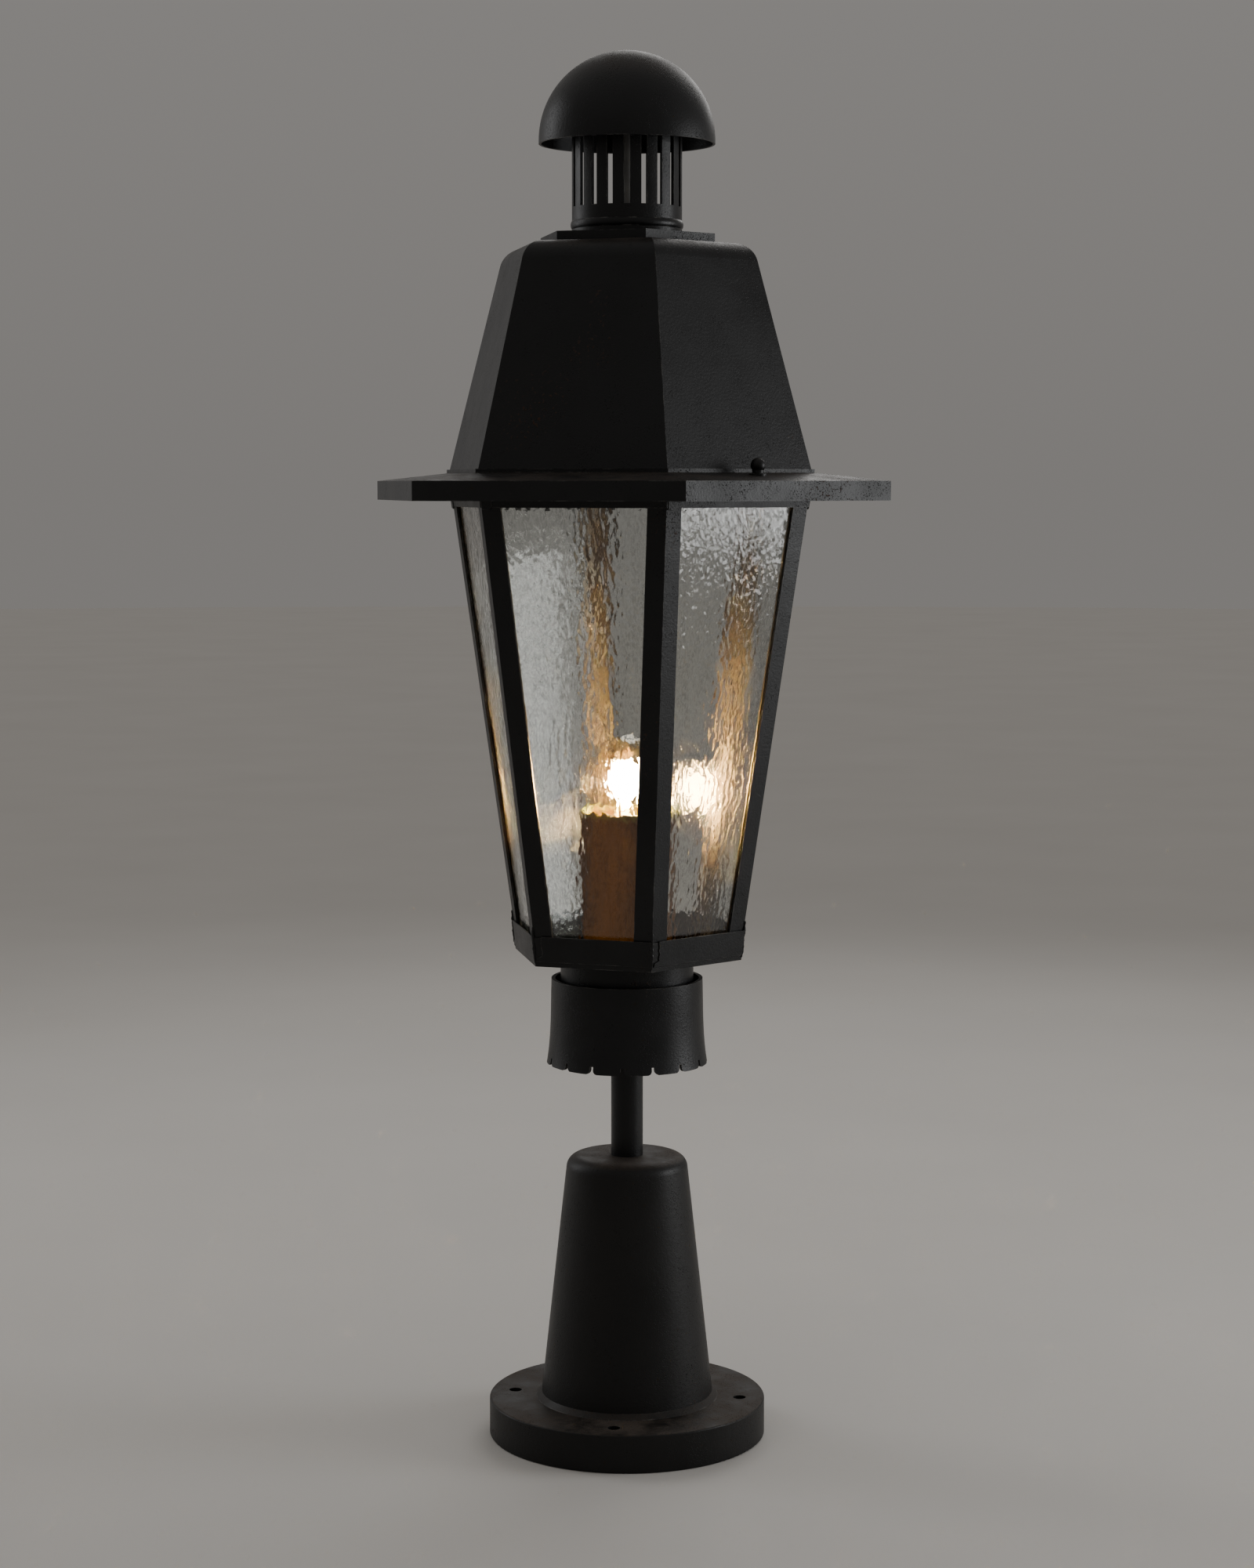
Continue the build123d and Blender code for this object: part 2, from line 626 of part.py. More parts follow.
with BuildPart() as hinge_leaf_frame:
    with BuildSketch(SIDE_PLANE):
        with BuildLine():
            Polyline(
                (band_face(HINGE_LEAF_BOTTOM), HINGE_LEAF_BOTTOM),
                (band_face(HINGE_LEAF_BOTTOM) + HINGE_LEAF, HINGE_LEAF_BOTTOM),
                (band_face(HINGE_LEAF_TOP) + HINGE_LEAF, HINGE_LEAF_TOP),
                (band_face(HINGE_LEAF_TOP), HINGE_LEAF_TOP), close=True,
            )
        make_face()
    extrude(amount=HINGE_WIDTH)
    with BuildSketch(MIDDLE_PLANE):
        with Locations((HINGE_Y, HINGE_Z)):
            Circle(KNUCKLE_RADIUS)
        web_start = band_face(HINGE_Z) + HINGE_LEAF / 2
        with Locations(((web_start + HINGE_Y) / 2, HINGE_Z)):
            Rectangle(HINGE_Y - web_start, KNUCKLE_RADIUS)
    extrude(amount=KNUCKLE_MIDDLE)
    with BuildSketch(MIDDLE_PLANE):
        with Locations((HINGE_Y, HINGE_Z)):
            Circle(HINGE_PIN_RADIUS)
    extrude(amount=KNUCKLE_MIDDLE, mode=Mode.SUBTRACT)
save(hinge_leaf_frame.part, "hinge_leaf_frame")


def eave_under_at(distance):
    """Height of the eave's lower face at a distance from the middle, square to a flat."""
    lip = HOOD_LIP_RADIUS * COS30
    edge = EAVE_RADIUS * COS30 - EAVE_SHEET
    drop = EAVE_TOP - EAVE_EDGE
    if distance <= lip:
        return EAVE_TOP - EAVE_SHEET
    return EAVE_TOP - EAVE_SHEET - drop * (distance - lip) / (edge - lip)


with BuildPart() as hinge_leaf_roof:
    web_inner = HINGE_Y - HINGE_LEAF / 2
    web_outer = HINGE_Y + HINGE_LEAF / 2
    reach = HINGE_Y + HINGE_FLANGE_REACH
    web_bottom = HINGE_Z + KNUCKLE_RADIUS + KNUCKLE_GAP
    with BuildSketch(SIDE_PLANE):
        with BuildLine():
            Polyline(
                (web_inner, web_bottom), (web_inner, eave_under_at(web_inner)),
                (reach, eave_under_at(reach)), (reach, eave_under_at(reach) - HINGE_LEAF),
                (web_outer, eave_under_at(web_outer) - HINGE_LEAF), (web_outer, web_bottom), close=True,
            )
        make_face()
    extrude(amount=HINGE_WIDTH)
    for start in KNUCKLE_STARTS:
        with BuildSketch(Plane.YZ.offset(start)):
            with Locations((HINGE_Y, HINGE_Z)):
                Circle(KNUCKLE_RADIUS)
            with Locations((HINGE_Y, (HINGE_Z + web_bottom) / 2)):
                Rectangle(HINGE_LEAF, web_bottom - HINGE_Z)
        extrude(amount=OUTER_KNUCKLE)
    with BuildSketch(SIDE_PLANE):
        with Locations((HINGE_Y, HINGE_Z)):
            Circle(HINGE_PIN_RADIUS + HINGE_PIN_CLEARANCE)
    extrude(amount=HINGE_WIDTH, mode=Mode.SUBTRACT)
save(hinge_leaf_roof.part, "hinge_leaf_roof")

with BuildPart() as hinge_pin:
    with BuildSketch(Plane.YZ.offset(-HINGE_WIDTH / 2 - HINGE_PIN_OVERHANG)):
        with Locations((HINGE_Y, HINGE_Z)):
            Circle(HINGE_PIN_RADIUS)
    extrude(amount=HINGE_WIDTH + 2 * HINGE_PIN_OVERHANG)
save(hinge_pin.part, "hinge_pin")

# ---- Roof knob ----

with BuildPart() as knob_lug:
    lug_under = LUG_TOP - LUG_THICKNESS
    with BuildSketch(Plane.YZ.offset(-LUG_WIDTH / 2)):
        with BuildLine():
            Polyline(
                (-band_face(LUG_BOTTOM), LUG_BOTTOM), (-band_face(LUG_TOP), LUG_TOP),
                (LUG_END_Y, LUG_TOP), (LUG_END_Y, lug_under),
                (-band_face(lug_under) - LUG_THICKNESS, lug_under),
                (-band_face(LUG_BOTTOM) - POST_SHEET, LUG_BOTTOM), close=True,
            )
        make_face()
    extrude(amount=LUG_WIDTH)
    with BuildSketch(Plane.XY.offset(LUG_BOTTOM)):
        with Locations((0, KNOB_Y)):
            Circle(KNOB_HOLE_RADIUS)
    extrude(amount=LUG_TOP - LUG_BOTTOM, mode=Mode.SUBTRACT)
save(knob_lug.part, "knob_lug")

with BuildPart() as knob_washer:
    blank_half = WASHER_RADIUS + WASHER_BLANK_MARGIN
    washer_near = -KNOB_Y - blank_half
    washer_far = -KNOB_Y + blank_half
    with BuildSketch(Plane.YZ.offset(-blank_half)):
        with BuildLine():
            Polyline(
                (-washer_near, eave_top_at(washer_near)), (-washer_near, WASHER_TOP),
                (-washer_far, WASHER_TOP), (-washer_far, eave_top_at(washer_far)), close=True,
            )
        make_face()
    extrude(amount=2 * blank_half)
    with BuildSketch(Plane.XY.offset(EAVE_EDGE)):
        with Locations((0, KNOB_Y)):
            Circle(WASHER_RADIUS)
            Circle(KNOB_HOLE_RADIUS, mode=Mode.SUBTRACT)
    extrude(amount=WASHER_TOP - EAVE_EDGE, mode=Mode.INTERSECT)
save(knob_washer.part, "knob_washer")

with BuildPart() as knob:
    ball_centre = KNOB_TOP - KNOB_RADIUS
    neck_drop = sqrt(KNOB_RADIUS ** 2 - KNOB_NECK_RADIUS ** 2)
    neck_angle = degrees(atan2(neck_drop, KNOB_NECK_RADIUS))
    with BuildSketch(Plane.XZ.offset(-KNOB_Y)):
        with BuildLine():
            Polyline(
                (0, KNOB_TOP), (0, KNOB_SHANK_BOTTOM), (KNOB_SHANK_RADIUS, KNOB_SHANK_BOTTOM),
                (KNOB_SHANK_RADIUS, KNOB_FOOT), (KNOB_NECK_RADIUS, KNOB_FOOT),
                (KNOB_NECK_RADIUS, ball_centre - neck_drop),
            )
            CenterArc((0, ball_centre), KNOB_RADIUS, -neck_angle, 90 + neck_angle)
        make_face()
    revolve(axis=Axis((0, KNOB_Y, 0), (0, 0, 1)))
save(knob.part, "knob")

# ---- Lamp ----

HOLDER_BASE_TOP = PAN_FLOOR + HOLDER_BASE_THICKNESS

with BuildPart() as lampholder_base:
    with BuildSketch(Plane.XY.offset(PAN_FLOOR)):
        Circle(HOLDER_BASE_RADIUS)
        Circle(PAN_WIRE_HOLE, mode=Mode.SUBTRACT)
    extrude(amount=HOLDER_BASE_THICKNESS)
save(lampholder_base.part, "lampholder_base")

with BuildPart() as lampholder_body:
    with BuildSketch(Plane.XY.offset(HOLDER_BASE_TOP)):
        Circle(HOLDER_RADIUS)
    extrude(amount=HOLDER_TOP - HOLDER_BASE_TOP)
    fillet(lampholder_body.edges().group_by(Axis.Z)[-1], radius=HOLDER_EDGE)
    with BuildSketch(Plane.XY.offset(HOLDER_SOCKET_BOTTOM)):
        Circle(SHELL_RADIUS)
    extrude(amount=HOLDER_TOP - HOLDER_SOCKET_BOTTOM, mode=Mode.SUBTRACT)
    with BuildSketch(Plane.XY.offset(HOLDER_BASE_TOP)):
        Circle(HOLDER_WIRE_HOLE)
    extrude(amount=HOLDER_SOCKET_BOTTOM - HOLDER_BASE_TOP, mode=Mode.SUBTRACT)
save(lampholder_body.part, "lampholder_body")

with BuildPart() as lampholder_shell:
    with BuildSketch(Plane.XY.offset(HOLDER_SOCKET_BOTTOM)):
        Circle(SHELL_RADIUS)
        Circle(SHELL_RADIUS - SHELL_WALL, mode=Mode.SUBTRACT)
    extrude(amount=HOLDER_TOP - HOLDER_SOCKET_BOTTOM - SHELL_DROP)
save(lampholder_shell.part, "lampholder_shell")

with BuildPart() as sleeve:
    with BuildSketch(Plane.XY.offset(HOLDER_BASE_TOP)):
        Circle(SLEEVE_RADIUS)
        Circle(SLEEVE_RADIUS - SLEEVE_WALL, mode=Mode.SUBTRACT)
    extrude(amount=SLEEVE_TOP - HOLDER_BASE_TOP)
save(sleeve.part, "sleeve")

with BuildPart() as bulb_cap:
    with BuildSketch(Plane.XZ):
        with BuildLine():
            Polyline(
                (0, CAP_TIP_BOTTOM), (CAP_TIP_RADIUS, CAP_TIP_BOTTOM),
                (CAP_INSULATOR_RADIUS, CAP_INSULATOR_BOTTOM), (CAP_RADIUS, CAP_SHELL_BOTTOM),
                (CAP_RADIUS, CAP_TOP), (BULB_NECK_RADIUS, CAP_TOP),
                (BULB_NECK_RADIUS, CAP_SEAT), (0, CAP_SEAT), close=True,
            )
        make_face()
    revolve(axis=Axis.Z)
save(bulb_cap.part, "bulb_cap")

with BuildPart() as bulb_glass:
    revolve(bulb_outline(0), axis=Axis.Z)
    revolve(bulb_outline(BULB_WALL), axis=Axis.Z, mode=Mode.SUBTRACT)
save(bulb_glass.part, "bulb_glass")

with BuildPart() as bulb_mount:
    with BuildSketch(Plane.XZ):
        with BuildLine():
            Polyline(
                (0, CAP_SEAT), (MOUNT_FOOT_RADIUS, CAP_SEAT), (MOUNT_WAIST_RADIUS, MOUNT_WAIST_HEIGHT),
                (CAPSULE_SEAL_RADIUS, CAPSULE_SEAL_BOTTOM), (0, CAPSULE_SEAL_BOTTOM), close=True,
            )
        make_face()
    revolve(axis=Axis.Z)
save(bulb_mount.part, "bulb_mount")

with BuildPart() as bulb_capsule:
    seal_drop = sqrt(CAPSULE_RADIUS ** 2 - CAPSULE_SEAL_RADIUS ** 2)
    seal_angle = degrees(atan2(seal_drop, CAPSULE_SEAL_RADIUS))
    capsule_top = CAPSULE_UPPER_CENTRE + CAPSULE_RADIUS
    with BuildSketch(Plane.XZ):
        with BuildLine():
            Polyline(
                (0, capsule_top), (0, CAPSULE_SEAL_BOTTOM), (CAPSULE_SEAL_RADIUS, CAPSULE_SEAL_BOTTOM),
                (CAPSULE_SEAL_RADIUS, CAPSULE_LOWER_CENTRE - seal_drop),
            )
            CenterArc((0, CAPSULE_LOWER_CENTRE), CAPSULE_RADIUS, -seal_angle, seal_angle)
            Line((CAPSULE_RADIUS, CAPSULE_LOWER_CENTRE), (CAPSULE_RADIUS, CAPSULE_UPPER_CENTRE))
            CenterArc((0, CAPSULE_UPPER_CENTRE), CAPSULE_RADIUS, 0, 90)
        make_face()
    revolve(axis=Axis.Z)
save(bulb_capsule.part, "bulb_capsule")
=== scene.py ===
import json
import math

import bmesh
import bpy
import numpy as np
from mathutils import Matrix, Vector, noise


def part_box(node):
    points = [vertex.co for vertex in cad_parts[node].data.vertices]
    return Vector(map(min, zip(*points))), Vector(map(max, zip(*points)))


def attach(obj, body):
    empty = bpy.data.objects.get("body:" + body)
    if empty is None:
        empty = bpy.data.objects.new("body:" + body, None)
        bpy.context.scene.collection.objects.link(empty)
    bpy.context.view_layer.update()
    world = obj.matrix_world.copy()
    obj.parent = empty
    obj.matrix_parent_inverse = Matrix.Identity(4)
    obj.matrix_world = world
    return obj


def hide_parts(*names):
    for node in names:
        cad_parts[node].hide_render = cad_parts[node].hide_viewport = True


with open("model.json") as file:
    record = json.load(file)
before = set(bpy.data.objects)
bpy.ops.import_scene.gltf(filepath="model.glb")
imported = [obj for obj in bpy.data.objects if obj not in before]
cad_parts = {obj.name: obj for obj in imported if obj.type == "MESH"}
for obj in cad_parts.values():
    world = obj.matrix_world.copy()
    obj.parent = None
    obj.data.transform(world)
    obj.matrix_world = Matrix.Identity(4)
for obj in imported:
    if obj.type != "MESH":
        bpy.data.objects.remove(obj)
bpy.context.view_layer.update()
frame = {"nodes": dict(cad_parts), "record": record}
MM = 0.001

# ---- Camera, at the viewing angle of the reference view ----

VIEW_AZIMUTH = math.radians(-41.5)
VIEW_PITCH = math.radians(5.632)
VIEW_DISTANCE = 2.0
VIEW_HEIGHT = 0.6361
VIEW_LENS = 69.7
SENSOR = 36.0


def view_axes():
    """Level unit vectors towards the camera and to the camera's right."""
    towards = Vector((math.sin(VIEW_AZIMUTH), -math.cos(VIEW_AZIMUTH), 0))
    right = Vector((math.cos(VIEW_AZIMUTH), math.sin(VIEW_AZIMUTH), 0))
    return towards, right


def make_camera():
    towards, _ = view_axes()
    data = bpy.data.cameras.new("camera")
    data.lens = VIEW_LENS
    data.sensor_width = SENSOR
    camera = bpy.data.objects.new("camera", data)
    camera.location = towards * VIEW_DISTANCE + Vector((0, 0, VIEW_HEIGHT))
    camera.rotation_euler = (math.pi / 2 - VIEW_PITCH, 0, VIEW_AZIMUTH)
    bpy.context.scene.collection.objects.link(camera)
    bpy.context.scene.camera = camera


make_camera()
# The lit lamp is seen by its reflection in the panes too, which the default clamp would put out.
LAMP_CLAMP = 400
bpy.context.scene.cycles.sample_clamp_indirect = LAMP_CLAMP

# ---- Studio ----

LIGHT_SPREAD = math.radians(130)
FLOOR_RADIUS = 14
AIM_HEIGHT = 0.5


def area_light(name, place, target, size, power, colour):
    data = bpy.data.lights.new(name, "AREA")
    data.shape = "RECTANGLE"
    data.size, data.size_y = size
    data.energy = power
    data.color = colour
    data.spread = LIGHT_SPREAD
    light = bpy.data.objects.new(name, data)
    light.location = place
    light.rotation_euler = (Vector(target) - Vector(place)).to_track_quat("-Z", "Y").to_euler()
    light.visible_camera = False
    bpy.context.scene.collection.objects.link(light)


HORIZON = (0.204, 0.195, 0.186, 1)
ZENITH = (0.384, 0.372, 0.36, 1)


def soft_sky():
    """A plain sky that is as bright at the horizon as the far floor it lights."""
    world = bpy.data.worlds.new("studio")
    world.use_nodes = True
    tree = world.node_tree
    coords = add_node(tree, "TexCoord")
    parts = add_node(tree, "SeparateXYZ", {"Vector": coords.outputs["Generated"]})
    height = add_node(tree, "Clamp", {"Value": parts.outputs["Z"]})
    colour = mix_colour(tree, height.outputs["Result"], HORIZON, ZENITH)
    tree.links.new(colour, tree.nodes["Background"].inputs["Color"])
    return world


def make_studio():
    towards, right = view_axes()
    up = Vector((0, 0, 1))
    aim = up * AIM_HEIGHT
    key = right * 1.85 + up * 0.62
    rim = right * -1.7 - towards * 0.9 + up * 1.0
    back = towards * -2.0 + right * 0.5 + up * 1.8
    area_light("key_right", key, aim, (0.9, 0.75), 6.8, (0.97, 0.985, 1))
    area_light("rim_left", rim, aim, (0.7, 1.5), 3.6, (0.97, 0.98, 1))
    area_light("back_soft", back, aim, (1.6, 1.2), 7, (1, 0.98, 0.96))
    bpy.context.scene.world = soft_sky()
    mesh = bpy.data.meshes.new("floor")
    angles = np.linspace(0, 2 * math.pi, 65)[:-1]
    edge = [(FLOOR_RADIUS * math.cos(a), FLOOR_RADIUS * math.sin(a), 0) for a in angles]
    mesh.from_pydata(edge, [], [list(range(len(edge)))])
    floor = bpy.data.objects.new("floor", mesh)
    bpy.context.scene.collection.objects.link(floor)
    floor.data.materials.append(floor_material())


# ---- Node helpers ----


def add_node(tree, kind, inputs=None, **settings):
    made = tree.nodes.new("ShaderNode" + kind)
    for key, value in settings.items():
        setattr(made, key, value)
    for key, value in (inputs or {}).items():
        if isinstance(value, bpy.types.NodeSocket):
            tree.links.new(value, made.inputs[key])
        else:
            made.inputs[key].default_value = value
    return made


def start_material(name):
    material = bpy.data.materials.new(name)
    material.use_nodes = True
    tree = material.node_tree
    return material, tree, tree.nodes["Principled BSDF"]


def object_coords(tree, stretch=(1, 1, 1)):
    """Coordinates in the row's frame, in metres, squeezed by stretch."""
    coords = add_node(tree, "TexCoord")
    mapping = add_node(tree, "Mapping", {"Vector": coords.outputs["Object"], "Scale": stretch})
    return mapping.outputs["Vector"]


def noise_value(tree, vector, scale, detail=3.0, roughness=0.55):
    made = add_node(
        tree, "TexNoise", {"Vector": vector, "Scale": scale, "Detail": detail, "Roughness": roughness}
    )
    return made.outputs["Fac"]


def ramp(tree, value, low, high, out_low=0.0, out_high=1.0):
    """A value moved smoothly from one span to another, and clamped to it."""
    made = add_node(
        tree, "MapRange",
        {"Value": value, "From Min": low, "From Max": high, "To Min": out_low, "To Max": out_high},
        interpolation_type="SMOOTHSTEP",
    )
    return made.outputs["Result"]


def times(tree, first, second):
    return add_node(tree, "Math", {0: first, 1: second}, operation="MULTIPLY").outputs[0]


def plus(tree, first, second):
    return add_node(tree, "Math", {0: first, 1: second}, operation="ADD").outputs[0]


def mix_colour(tree, share, first, second):
    made = add_node(tree, "Mix", data_type="RGBA")
    for socket, value in ((0, share), (6, first), (7, second)):
        if isinstance(value, bpy.types.NodeSocket):
            tree.links.new(value, made.inputs[socket])
        else:
            made.inputs[socket].default_value = value
    return made.outputs[2]


def bump(tree, height, strength, distance):
    inputs = {"Height": height, "Strength": strength, "Distance": distance}
    return add_node(tree, "Bump", inputs).outputs["Normal"]


# ---- Materials ----


def floor_material():
    material, tree, shader = start_material("pale_floor")
    cloud = noise_value(tree, object_coords(tree), 3.0)
    colour = mix_colour(tree, cloud, (0.60, 0.58, 0.55, 1), (0.66, 0.64, 0.61, 1))
    tree.links.new(colour, shader.inputs["Base Color"])
    shader.inputs["Roughness"].default_value = 0.95
    shader.inputs["Specular IOR Level"].default_value = 0.0
    return material


def upward(tree):
    """How far the surface faces up in the row's own frame, from 0 to 1."""
    coords = add_node(tree, "TexCoord")
    parts = add_node(tree, "SeparateXYZ", {"Vector": coords.outputs["Normal"]})
    return ramp(tree, parts.outputs["Z"], 0.55, 0.98)


def edge_mask(tree, width):
    """1 along sharp edges, 0 on the flats."""
    rounded = add_node(tree, "Bevel", {"Radius": width}, samples=6)
    flat = add_node(tree, "NewGeometry")
    match = add_node(
        tree, "VectorMath", {0: rounded.outputs["Normal"], 1: flat.outputs["Normal"]},
        operation="DOT_PRODUCT",
    )
    return ramp(tree, match.outputs["Value"], 0.995, 0.9)


def black_paint(name, dark, light, rough, grain, dust, wear):
    """Satin black paint over metal: grain, clustered pits, broad clouds, dust on top and worn edges."""
    material, tree, shader = start_material(name)
    coords = object_coords(tree)
    cloud = noise_value(tree, coords, 14.0, 5.0, 0.65)
    fine = noise_value(tree, coords, grain, 3.0, 0.6)
    cluster = ramp(tree, noise_value(tree, coords, 60.0, 3.0), 0.4, 0.7)
    pits = times(tree, ramp(tree, noise_value(tree, coords, 1050.0, 1.5), 0.6, 0.68), cluster)
    rust = times(
        tree, ramp(tree, noise_value(tree, coords, 430.0, 2.5), 0.6, 0.68),
        ramp(tree, noise_value(tree, coords, 11.0, 3.0), 0.56, 0.7),
    )
    paint = mix_colour(tree, ramp(tree, cloud, 0.3, 0.7), dark, light)
    paint = mix_colour(tree, times(tree, rust, 0.7), paint, (0.06, 0.03, 0.018, 1))
    patch = ramp(tree, noise_value(tree, coords, 30.0, 6.0, 0.72), 0.3, 0.68)
    powder = times(tree, times(tree, upward(tree), patch), dust)
    paint = mix_colour(tree, powder, paint, (0.06, 0.046, 0.036, 1))
    rub = ramp(tree, noise_value(tree, coords, 90.0, 4.0, 0.7), 0.45, 0.68)
    bare = times(tree, times(tree, edge_mask(tree, 0.0011), rub), wear)
    paint = mix_colour(tree, bare, paint, (0.14, 0.135, 0.125, 1))
    paint = mix_colour(tree, times(tree, pits, 0.75), paint, (0.002, 0.002, 0.002, 1))
    tree.links.new(paint, shader.inputs["Base Color"])
    gloss = ramp(tree, cloud, 0.25, 0.75, rough - 0.05, rough + 0.08)
    gloss = plus(tree, gloss, times(tree, powder, 0.3))
    tree.links.new(plus(tree, gloss, times(tree, plus(tree, pits, rust), 0.35)), shader.inputs["Roughness"])
    shader.inputs["Specular IOR Level"].default_value = 0.3
    relief = plus(tree, times(tree, fine, 0.6), times(tree, pits, -0.9))
    relief = plus(tree, relief, times(tree, rust, 0.5))
    tree.links.new(bump(tree, relief, 0.55, 0.0004), shader.inputs["Normal"])
    return material


def clear_glass(name, tint, shade, relief, grain=0.0):
    """Glass that rays from lamps pass straight through, with fine relief, and a grain of darker specks
    painted into its tint as painted shade, standing in for the dark stipple that hammered glass refracts.
    """
    material, tree, shader = start_material(name)
    shader.inputs["Base Color"].default_value = tint
    # The darker specks in the tint are painted shade, standing in for the dark stipple seen through the
    # hammered relief.
    if grain:
        shade_specks = ramp(tree, noise_value(tree, object_coords(tree, (1, 1, 0.42)), 820.0, 2.0), 0.42, 0.6)
        shade_streaks = ramp(tree, noise_value(tree, object_coords(tree, (1, 1, 0.16)), 150.0, 3.0), 0.35, 0.65)
        share = times(tree, shade_specks, plus(tree, times(tree, shade_streaks, 0.6), 0.4))
        dark = tuple(c * (1 - grain) for c in tint[:3]) + (1,)
        tree.links.new(mix_colour(tree, share, tint, dark), shader.inputs["Base Color"])
    shader.inputs["Roughness"].default_value = 0.015
    shader.inputs["IOR"].default_value = 1.5
    shader.inputs["Transmission Weight"].default_value = 1.0
    stipple = noise_value(tree, object_coords(tree, (1, 1, 0.5)), 880.0, 2.0, 0.5)
    tree.links.new(bump(tree, stipple, relief, 0.0003), shader.inputs["Normal"])
    clear = add_node(tree, "BsdfTransparent", {"Color": shade})
    path = add_node(tree, "LightPath")
    mixed = add_node(
        tree, "MixShader",
        {0: path.outputs["Is Shadow Ray"], 1: shader.outputs["BSDF"], 2: clear.outputs["BSDF"]},
    )
    tree.links.new(mixed.outputs["Shader"], tree.nodes["Material Output"].inputs["Surface"])
    return material


def metal(name, colour, rough, scratch):
    """Dull metal with a clouded tone, and fine scratches stretched by scratch."""
    material, tree, shader = start_material(name)
    coords = object_coords(tree)
    cloud = noise_value(tree, coords, 60.0, 4.0)
    second = tuple(c * 0.7 for c in colour[:3]) + (1,)
    shaded = mix_colour(tree, ramp(tree, cloud, 0.3, 0.75), colour, second)
    tree.links.new(shaded, shader.inputs["Base Color"])
    shader.inputs["Metallic"].default_value = 1.0
    tree.links.new(ramp(tree, cloud, 0.25, 0.75, rough - 0.07, rough + 0.1), shader.inputs["Roughness"])
    fine = noise_value(tree, object_coords(tree, scratch), 500.0, 2.0)
    tree.links.new(bump(tree, fine, 0.15, 0.0002), shader.inputs["Normal"])
    return material


def porcelain():
    material, tree, shader = start_material("glazed_porcelain")
    cloud = noise_value(tree, object_coords(tree), 45.0)
    colour = mix_colour(tree, cloud, (0.78, 0.76, 0.70, 1), (0.86, 0.84, 0.79, 1))
    tree.links.new(colour, shader.inputs["Base Color"])
    shader.inputs["Roughness"].default_value = 0.18
    tree.links.new(bump(tree, cloud, 0.1, 0.0005), shader.inputs["Normal"])
    return material


def sleeve_top():
    """Height of the top of the sleeve, in metres."""
    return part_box("sleeve")[1].z


def sleeve_material():
    """Dark amber brown tube with streaks down it, a faint painted glow standing in for lamp light through
    it, and a painted lamp highlight on its top rim.
    """
    material, tree, shader = start_material("amber_sleeve")
    streak = noise_value(tree, object_coords(tree, (1, 1, 0.12)), 60.0, 5.0, 0.62)
    blotch = noise_value(tree, object_coords(tree), 26.0, 3.0)
    dark, light, stain = (0.02, 0.0055, 0.0003, 1), (0.07, 0.034, 0.0015, 1), (0.04, 0.018, 0.001, 1)
    colour = mix_colour(tree, ramp(tree, streak, 0.3, 0.7), dark, light)
    colour = mix_colour(tree, ramp(tree, blotch, 0.4, 0.7, 0.0, 0.6), colour, stain)
    coords = add_node(tree, "TexCoord")
    height = add_node(tree, "SeparateXYZ", {"Vector": coords.outputs["Object"]}).outputs["Z"]
    # Lighter olive-gold towards the top edge: a painted lamp highlight where the bulb above shines on the
    # rim.
    rim = ramp(tree, height, sleeve_top() - 6 * MM, sleeve_top() - 1 * MM)
    colour = mix_colour(tree, rim, colour, (0.1, 0.12, 0.02, 1))
    tree.links.new(colour, shader.inputs["Base Color"])
    tree.links.new(ramp(tree, streak, 0.2, 0.8, 0.4, 0.6), shader.inputs["Roughness"])
    shader.inputs["Specular IOR Level"].default_value = 0.06
    # The faint emission is a painted glow, standing in for the lamp's light coming through the tube.
    shader.inputs["Emission Color"].default_value = (1.0, 0.3, 0.0, 1)
    tree.links.new(ramp(tree, streak, 0.3, 0.7, 0.006, 0.06), shader.inputs["Emission Strength"])
    tree.links.new(bump(tree, streak, 0.25, 0.0004), shader.inputs["Normal"])
    return material


def aged_brass():
    """Unpainted sheet, dull tan, with darker stains."""
    material, tree, shader = start_material("aged_brass")
    stain = noise_value(tree, object_coords(tree, (1, 1, 0.3)), 75.0, 5.0, 0.65)
    colour = mix_colour(tree, ramp(tree, stain, 0.35, 0.7), (0.26, 0.225, 0.17, 1), (0.1, 0.075, 0.05, 1))
    tree.links.new(colour, shader.inputs["Base Color"])
    shader.inputs["Metallic"].default_value = 0.55
    tree.links.new(ramp(tree, stain, 0.25, 0.75, 0.38, 0.6), shader.inputs["Roughness"])
    tree.links.new(bump(tree, stain, 0.25, 0.0003), shader.inputs["Normal"])
    return material


def lit_capsule():
    """Frosted inner lamp, glowing, its strength varied at random across it by a noise."""
    material, tree, shader = start_material("lit_capsule")
    shader.inputs["Base Color"].default_value = (1.0, 0.8, 0.55, 1)
    shader.inputs["Emission Color"].default_value = (1.0, 0.69, 0.36, 1)
    haze = noise_value(tree, object_coords(tree), 90.0)
    tree.links.new(ramp(tree, haze, 0.2, 0.8, 600.0, 780.0), shader.inputs["Emission Strength"])
    return material


PAINT = black_paint(
    "satin_black_sheet", (0.0042, 0.0043, 0.0048, 1), (0.0085, 0.0088, 0.0094, 1),
    rough=0.38, grain=620.0, dust=0.6, wear=0.7,
)
CASTING = black_paint(
    "black_casting", (0.0042, 0.004, 0.0039, 1), (0.009, 0.0084, 0.0079, 1),
    rough=0.46, grain=420.0, dust=0.95, wear=0.45,
)
ZINC = metal("dull_zinc", (0.42, 0.42, 0.41, 1), 0.42, (1, 1, 1))
BRASS = metal("plain_brass", (0.72, 0.50, 0.22, 1), 0.3, (1, 1, 0.2))
OLD_BRASS = aged_brass()
PANE_TINT = (0.92, 0.93, 0.905, 1)
PANE_SHADE = (0.84, 0.85, 0.83, 1)
